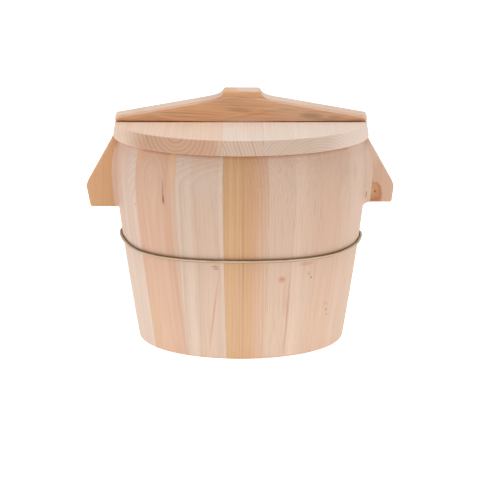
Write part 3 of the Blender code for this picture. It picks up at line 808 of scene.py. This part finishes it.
earLooks = {
    "left": {
        "tones": even("amber"), "pith": (-30, -160), "ring": 2.8, "lines": 0.25, "seed": 21},
    "right": {
        "tones": even("tan"), "pith": (-30, -60), "ring": 3.0, "lines": 0.2, "seed": 22,
        "flankMarks": [mark(-103, 154, 9, 20, "blush", 0.75),
                       mark(-108.2, 119.4, 6.2, 10.4, "ember", 1.0, edge=0.3),
                       mark(-108.2, 119.4, 6.0, 10.2, "caramel", 0.6, edge=0.3),
                       mark(-106.9, 122.2, 4.5, 6.8, "honey", 0.9, edge=0.4),
                       mark(-107.2, 121.0, 3.2, 5.2, "rust", 0.45, edge=0.4),
                       mark(-107.0, 121.6, 2.4, 3.8, "amber", 0.8, edge=0.5),
                       mark(-108.3, 121.4, 1.6, 2.2, "cocoa", 0.5),
                       mark(-108.3, 121.8, 0.9, 1.1, "bark", 0.9),
                       mark(-106.4, 129.5, 0.7, 3.2, "cocoa", 0.4),
                       mark(-112.5, 125.5, 2.4, 0.8, "cocoa", 0.4)]}}

sections = {side: addSection(side) for side in earFoot}
staveLean = (bucket["footDraw"] / bucket["belly"], bucket["belly"] * millimetres)
for half, middle, sides, seed in (
        ("front", 0, ("left", "right"), 1), ("back", 180, ("right", "left"), 9)):
    shares = bucket[half + "Shares"]
    angle = middle - 90 + earHalfAngle
    for i, part in enumerate(shares):
        width = part * (180 - 2 * earHalfAngle) / sum(shares)
        side, beside = sides[0], None
        if i == 0:
            beside = "start"
        elif i == len(shares) - 1:
            side, beside = sides[1], "end"
        key = f"{half}_{i + 1}"
        name = f"stave{half.capitalize()}{i + 1}"
        piece = addStave(sections[side], name, angle, angle + width, side, beside)
        look = woodFinish(f"{key}Fir", {
            "turn": (0, 0, -(angle + width / 2)), "halfAngle": width / 2, "paintedShadingAmount": 1.0,
            "lean": staveLean, "seed": seed + i, **staveLooks[key]})
        dress(piece, f"stave_{key}", "bucket", look)
        angle += width
print("staves made")

for side, middle in earAngle.items():
    piece = addEarStave(sections[side], f"earStave{side.capitalize()}", side, middle)
    look = woodFinish(f"{side}EarFir", {
        "turn": (0, 0, -middle), "halfAngle": earHalfAngle, **earLooks[side]})
    dress(piece, f"ear_stave_{side}", "bucket", look)
for section in sections.values():
    bpy.data.objects.remove(section)
print("ear staves made")


# wire hoop

hoop = {"height": 0.0818, "wave": 0.0006, "waves": 4, "rise": {"left": 0.0042, "right": 0.0022},
        "riseArc": {"left": 34, "right": 22}, "wire": 0.0026, "gap": -0.0001, "turns": 240,
        "sides": 14, "beadAngle": 1.4, "beadFat": 0.00025}

# tones of the wire: a painted highlight, painted shade and dark reflection, and a painted shadow
# underneath
paintedShadeWire = {
    "paintedHighlight": screen(186, 168, 138), "paintedShade": screen(122, 80, 50), "paintedUnderShadow": screen(112, 80, 54),
    "roughness": 0.42, "stainRough": 0.16, "metallic": 0.6, "stains": 90, "sideLitFrom": 4,
    "sideLitRise": 50, "topShade": 2.2, "innerShade": 3, "shadeFrom": 0.35, "stained": 1.4,
    "underShadowFrom": -0.6, "underShadowRise": 5.0}


def wireFinish():
    material = bpy.data.materials.new("paintedShadeWire")
    sheet = Sheet(material)
    place, facing = sheet.node("TexCoord", out=("Object", "Normal"))
    up = sheet.split(facing, "Z")
    stain = sheet.noise(place, (paintedShadeWire["stains"],) * 3, (2, 5, 1), 3.0)
    flat = sheet.node("Mapping", {}, {"Vector": place, "Scale": (1, 1, 0)})
    outwards = sheet.node("VectorMath", {"operation": "NORMALIZE"}, {0: flat})
    inwards = 0 - sheet.node(
        "VectorMath", {"operation": "DOT_PRODUCT"}, {0: outwards, 1: facing}, out="Value")
    sideways = sheet.maths("ABSOLUTE", sheet.split(place, "X"))
    # painted light: below the ears the top of the wire is left bright, and the painted shade moves to
    # its inner side, against the wood
    sideLit = sheet.clamp(sideways * paintedShadeWire["sideLitRise"] - paintedShadeWire["sideLitFrom"])
    # painted shade and dark reflection on the wire's top, broken up by stains
    paintedShade = up * paintedShadeWire["topShade"] * (1 - sideLit) + inwards * paintedShadeWire["innerShade"] * sideLit
    paintedShade = sheet.clamp(paintedShade - paintedShadeWire["shadeFrom"] + (stain - 0.5) * paintedShadeWire["stained"])
    colour = sheet.blend(paintedShade, paintedShadeWire["paintedHighlight"], paintedShadeWire["paintedShade"])
    # painted shadow on the wire's underside
    paintedUnderShadow = sheet.clamp((paintedShadeWire["underShadowFrom"] - up) * paintedShadeWire["underShadowRise"])
    colour = sheet.blend(paintedUnderShadow, colour, paintedShadeWire["paintedUnderShadow"])
    finish = sheet.node("BsdfPrincipled", {}, {
        "Base Color": colour, "Roughness": paintedShadeWire["roughness"] + stain * paintedShadeWire["stainRough"],
        "Metallic": paintedShadeWire["metallic"]})
    sheet.node("OutputMaterial", {}, {"Surface": finish})
    return material


def hoopLift(angle):        # bent by hand: it waves a little and rides up below both ears
    lift = hoop["wave"] * math.cos(math.radians(hoop["waves"] * angle))
    for side, middle in earAngle.items():
        away = abs(angle - middle) / hoop["riseArc"][side]
        if away < 1:
            lift += hoop["rise"][side] * (1 + math.cos(math.pi * away)) / 2
    return lift


def addHoop():
    wire = hoop["wire"] / 2
    bpy.ops.mesh.primitive_torus_add(
        location=(0, 0, hoop["height"]), minor_radius=wire,
        major_radius=outerRadius(hoop["height"] + wire) + hoop["gap"] + wire,
        major_segments=hoop["turns"], minor_segments=hoop["sides"])
    ring = bpy.context.object
    ring.name = "wireHoop"
    settle(ring)
    edit(ring)      # the weld at the back, a little thicker than the wire
    pick(ring, "VERT", lambda v: abs(turnOf(v.co) - 180) < hoop["beadAngle"])
    bpy.ops.transform.shrink_fatten(value=hoop["beadFat"])
    mesh = bmesh.from_edit_mesh(ring.data)
    for v in mesh.verts:        # up and down the tapering staves
        lift = hoopLift(turnOf(v.co))
        wider = outerRadius(hoop["height"] + wire + lift) - outerRadius(hoop["height"] + wire)
        v.co.xy *= 1 + wider / v.co.xy.length
        v.co.z += lift
    bmesh.update_edit_mesh(ring.data)
    leave(ring, crease=80)
    return ring


dress(addHoop(), "wire_hoop", "bucket", wireFinish())
print("hoop made")


# lid

lid = {"seams": (-0.0145, 0.0175), "radius": 0.1035, "topRadius": 0.1018, "spigot": 0.0877,
       "depth": 0.006, "facets": 200, "rimEase": 0.0008, "spigotEase": 0.001,
       "seamEase": 0.00004, "grooveNeck": 0.0053, "grooveFoot": 0.0073, "grooveDepth": 0.0063,
       "grooveLength": 0.25, "grooveRise": 0.002}       # the last two reach past the boards

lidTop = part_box("lid_board_middle")[1].z
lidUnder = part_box("lid_board_middle")[0].z + lid["depth"]

lidLooks = {
    "left": {
        "span": (-104, -14.5), "tones": even("linen"),
        "endTones": [(0.0, "milk"), (0.12, "milk"), (0.24, "clove"), (0.93, "clove"), (1.0, "oat")],
        "pith": (-51, -181), "ring": 3.4, "lineTone": "cocoa", "seed": 31},
    "middle": {
        "span": (-14.5, 17.5), "tones": even("cloud"), "endTones": even("biscuit"),
        "pith": (-70, -150), "ring": 2.7, "lineTone": "cocoa", "seed": 32},
    "right": {
        "span": (17.5, 104), "tones": even("cloud"),
        "endTones": [(0.0, "biscuit"), (0.4, "biscuit"), (0.74, "milk"), (0.96, "pearl")],
        "pith": (60, -140), "ring": 2.3, "lineTone": "slate", "seed": 33,
        "marks": [mark(104, 0, 36, 400, "pearl", 0.85)]}}


def addDovetail():      # the shape of the groove for the handle's tongue
    depth, neck = lid["grooveDepth"], lid["grooveNeck"]
    tail = addBlock((lid["grooveLength"], 2 * neck, depth), (0, 0, lidTop - depth / 2))
    edit(tail)
    pick(tail, "FACE", lambda f: f.normal.z < -0.9)
    bpy.ops.transform.resize(value=(1, lid["grooveFoot"] / neck, 1))
    pick(tail, "FACE", lambda f: f.normal.z > 0.9)
    extrude(lid["grooveRise"])
    bpy.ops.object.mode_set(mode="OBJECT")
    return tail


def addLidDisc():
    thick = lidTop - lidUnder
    disc = addRound(lid["radius"], thick, lid["facets"], lidUnder + thick / 2)
    edit(disc)
    pick(disc, "FACE", lambda f: f.normal.z > 0.9)
    draw = lid["topRadius"] / lid["radius"]
    bpy.ops.transform.resize(value=(draw, draw, 1), center_override=(0, 0, lidTop))
    pick(disc, "FACE", lambda f: f.normal.z < -0.9)
    bpy.ops.mesh.inset(thickness=lid["radius"] - lid["spigot"])
    extrude(-lid["depth"])
    pick(disc, "EDGE", lambda e: sharp(e) and all(v.co.z > lidUnder - near for v in e.verts)
         and e.verts[0].co.xy.length > lid["topRadius"] - near)
    ease(lid["rimEase"], 3)
    pick(disc, "EDGE", lambda e: sharp(e) and all(v.co.z < lidUnder - near for v in e.verts))
    ease(lid["spigotEase"], 2)
    bpy.ops.object.mode_set(mode="OBJECT")
    return disc


def addLidBoard(disc, name, left, right):
    board = copyOf(disc, name)
    edit(board)
    seams = []
    for seam, outwards in ((left, -1), (right, 1)):
        if seam is not None:
            seams.append(seam - outwards * bucket["hairline"])
            trim((seams[-1], 0, 0), (outwards, 0, 0))
    pick(board, "EDGE", lambda e: sharp(e) and any(
        all(abs(v.co.x - seam) < near for v in e.verts) for seam in seams))
    ease(lid["seamEase"])
    leave(board, crease=25)
    return board


disc = addLidDisc()
tail = addDovetail()
carve(disc, tail, "DIFFERENCE")
bpy.data.objects.remove(tail)
boards = {"left": (None, lid["seams"][0]), "middle": lid["seams"], "right": (lid["seams"][1], None)}
for side, (left, right) in boards.items():
    piece = addLidBoard(disc, f"lidBoard{side.capitalize()}", left, right)
    look = woodFinish(f"{side}LidFir", {
        "turn": (90, 0, 0), "lines": 0.13, "drift": 3, "streaks": 0.1, "endLines": 6,
        **lidLooks[side]})
    dress(piece, f"lid_board_{side}", "lid", look)
bpy.data.objects.remove(disc)
print("lid boards made")


# handle

handle = {
    "end": 0.1012, "half": 0.011, "endHeight": 0.0053, "rootHeight": 0.0184, "rootHalf": 0.0266,
    "knobHeight": 0.0254, "knobHalf": 0.0137, "knobOffset": 0.0008, "knobCorner": 0.0013,
    "gap": 0.0003, "bow": 0.0011, "topEase": 0.0011, "ease": 0.0004, "tongueNeck": 0.005,
    "tongueFoot": 0.007, "tongueDepth": 0.006, "tongueReach": 0.1002, "blendSteps": 10}

handleLook = {
    # the handle's top faces get painted light
    "turn": (0, -93, 0), "span": (-204, -177), "tones": even("copper"),
    "lineTone": "rust", "pith": (-150, 40), "ring": 1.5, "lines": 0.4, "streaks": 0.5,
    "bands": 0.25, "seed": 41, "paintedTopLight": ("milk", 0.9), "endGrain": 0.4,
    "marks": [mark(-187, 55, 9, 58, "tan", 0.55), mark(-180, -6, 2.4, 32, "tan", 0.6),
              mark(-181.4, -85, 2, 13, "tan", 0.6), mark(-176, -79, 1.8, 34, "rust", 0.3),
              mark(-186, 47, 2.9, 12, "moss", 0.9), mark(-188, -12, 1.8, 13, "moss", 0.6),
              mark(-184.5, 64, 1.6, 8, "moss", 0.6), mark(-189.5, 52, 0.8, 14, "ember", 0.5),
              mark(-185.7, -4, 0.9, 28, "straw", 0.5, lean=-0.23),
              mark(-183.6, -4, 0.8, 28, "ember", 0.45, lean=-0.23),
              mark(-190, 27, 1.2, 10, "moss", 0.4), mark(-179, -82, 2.0, 8, "moss", 0.45),
              mark(-183, -54, 1.3, 13, "moss", 0.4), mark(-185.5, 8, 0.9, 20, "ember", 0.5),
              mark(-184.5, 76, 0.9, 14, "ember", 0.6), mark(-192, 6, 1.2, 16, "ember", 0.35),
              mark(-186, -30, 1.0, 20, "straw", 0.5), mark(-184, 91, 8, 3, "cloud", 0.5),
              mark(-177, -111, 8, 3, "cloud", 0.7), mark(-174.4, -106, 1.2, 7, "ember", 0.6),
              mark(-184.8, 88, 1.2, 12, "ember", 0.6),
              # painted highlight: pale lines under the sloping top edges carry the painted top light
              # down the front face, and copper on the knob's front bevel narrows it there
              mark(-184.8, -73.8, 0.7, 62, "linen", 0.95, edge=0.5, lean=-0.23),
              mark(-191.5, 54.1, 0.7, 62, "linen", 0.95, edge=0.5, lean=0.122),
              mark(-202.3, -9.8, 0.8, 40, "copper", 1.0, edge=0.5),
              mark(-194, -20, 7, 30, "caramel", 0.28),
              mark(-182.3, -66, 1.1, 8, "moss", 0.45), mark(-191.3, -15, 1.0, 9, "moss", 0.5),
              mark(-186.2, 67, 1.0, 9, "rust", 0.45), mark(-183.6, 57, 0.9, 12, "rust", 0.4),
              mark(-188.3, 10, 0.9, 14, "moss", 0.45)]}


def handleTop():        # (x, height above the lid) from the left end to the right
    outline = []
    for side in (-1, 1):
        root = (side * handle["rootHalf"], handle["rootHeight"])
        slope = (handle["rootHeight"] - handle["endHeight"]) / (handle["end"] - handle["rootHalf"])
        knobSide = handle["knobOffset"] + side * (handle["knobHalf"] + handle["knobCorner"])
        waistX = knobSide + side * handle["knobCorner"]
        waist = (waistX, handle["rootHeight"] + slope * (handle["rootHalf"] - abs(waistX)))
        neck = (knobSide, handle["knobHeight"] - handle["knobCorner"])
        outline.append((side * handle["end"], handle["endHeight"]))
        for i in range(handle["blendSteps"] + 1):
            t = i / handle["blendSteps"]
            outline.append(tuple(
                (1 - t) ** 2 * a + 2 * t * (1 - t) * b + t ** 2 * c
                for a, b, c in zip(root, waist, neck)))
        outline.append((handle["knobOffset"] + side * handle["knobHalf"], handle["knobHeight"]))
    return sorted(outline)


def addHandle():
    end, half, gap = handle["end"], handle["half"], handle["gap"]
    floor = lidTop + gap
    height = handle["knobHeight"] - gap
    batten = addBlock((2 * end, 2 * half, height), (0, 0, floor + height / 2))
    batten.name = "lidHandle"
    edit(batten)
    outline = handleTop()
    for x, _ in outline[1:-1]:
        cutAt((x, 0, 0), (1, 0, 0))
    for x, top in outline:
        pick(batten, "VERT", lambda v: abs(v.co.x - x) < near and v.co.z > floor + gap)
        bpy.ops.transform.translate(value=(0, 0, top - handle["knobHeight"]))
    for x in (-handle["tongueReach"], handle["tongueReach"], 0):
        cutAt((x, 0, 0), (1, 0, 0))
    for y in (-handle["tongueNeck"], handle["tongueNeck"]):
        cutAt((0, y, 0), (0, 1, 0))
    mesh = bmesh.from_edit_mesh(batten.data)
    for v in mesh.verts:        # the underside lifts a little towards both ends
        if v.co.z < floor + near:
            v.co.z += handle["bow"] * abs(v.co.x) / end
    bmesh.update_edit_mesh(batten.data)

    def onTop(e):       # the two long edges of the sloping top
        a, b = (v.co for v in e.verts)
        return abs(a.x - b.x) > near and min(a.z, b.z) > lidTop + handle["endHeight"] - near

    pick(batten, "EDGE", lambda e: sharp(e, least=30) and onTop(e))
    ease(handle["topEase"], 3)
    pick(batten, "EDGE", sharp)
    ease(handle["ease"], 2)
    pick(batten, "FACE", lambda f: f.normal.z < -0.9
         and abs(f.calc_center_median().y) < handle["tongueNeck"]
         and abs(f.calc_center_median().x) < handle["tongueReach"])
    extrude(-handle["tongueDepth"])
    spread = handle["tongueFoot"] / handle["tongueNeck"]
    bpy.ops.transform.resize(value=(1, spread, 0), center_override=(
        0, 0, lidTop - handle["tongueDepth"]))
    leave(batten, crease=25)
    return batten


dress(addHandle(), "lid_handle", "lid", woodFinish("handleFir", handleLook))
print("handle made")


# grate

grate = {"ease": 0.0006, "facets": 160, "cutterHeight": 0.2, "slats": 6}
grateRadius = -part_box("grate_slat_1")[0].x


def addStick(node, name, radius):       # a slat or a batten, its ends cut round
    low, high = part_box(node)
    stick = addBlock(high - low, (low + high) / 2)
    stick.name = name
    tool = addRound(radius, grate["cutterHeight"], grate["facets"])
    carve(stick, tool, "INTERSECT")
    bpy.data.objects.remove(tool)
    edit(stick)
    pick(stick, "EDGE", sharp)
    ease(grate["ease"], 2)
    leave(stick)
    return stick


for i in range(1, grate["slats"] + 1):
    node = f"grate_slat_{i}"
    left, right = (corner.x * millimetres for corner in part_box(node))
    look = woodFinish(f"slat{i}Fir", {      # each from another place in the trunk
        "turn": (90, 0, 0), "span": (left, right),
        "tones": [(0.0, "wheat"), (1.0, ("sand", "cream")[i % 2])],
        "pith": (left - 30 + 13 * i, 20 - 7 * i), "ring": 2.0, "lines": 0.3, "seed": 50 + i})
    dress(addStick(node, f"grateSlat{i}", grateRadius), node, "grate", look)
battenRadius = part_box("grate_batten_front")[1].xy.length
for side, seed in (("front", 65), ("back", 64)):
    node = f"grate_batten_{side}"
    look = woodFinish(f"{side}BattenFir", {
        "turn": (0, -90, 0), "span": (-25, -16), "tones": [(0.0, "tan"), (1.0, "sand")],
        "pith": (-50, 20), "ring": 2.2, "lines": 0.3, "seed": seed})
    dress(addStick(node, f"grateBatten{side.capitalize()}", battenRadius), node, "grate",
          look)
print("grate made")


# dowels keep their solids

bamboo = {"pale": tones["straw"], "dark": screen(186, 152, 98), "strands": 2200, "depth": 0.6,
          "roughness": 0.5}


def bambooFinish():
    material = bpy.data.materials.new("splitBamboo")
    sheet = Sheet(material)
    place = sheet.node("TexCoord", out="Object")
    strand = sheet.noise(place, (bamboo["strands"],) * 3, (1, 2, 3))
    colour = sheet.blend(strand * bamboo["depth"], bamboo["pale"], bamboo["dark"])
    finish = sheet.node("BsdfPrincipled", {}, {
        "Base Color": colour, "Roughness": bamboo["roughness"]})
    sheet.node("OutputMaterial", {}, {"Surface": finish})
    return material


split = bambooFinish()
for name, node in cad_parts.items():
    if "dowel" in name:
        for holder in node.material_slots:
            holder.material = split
print("dowels finished")
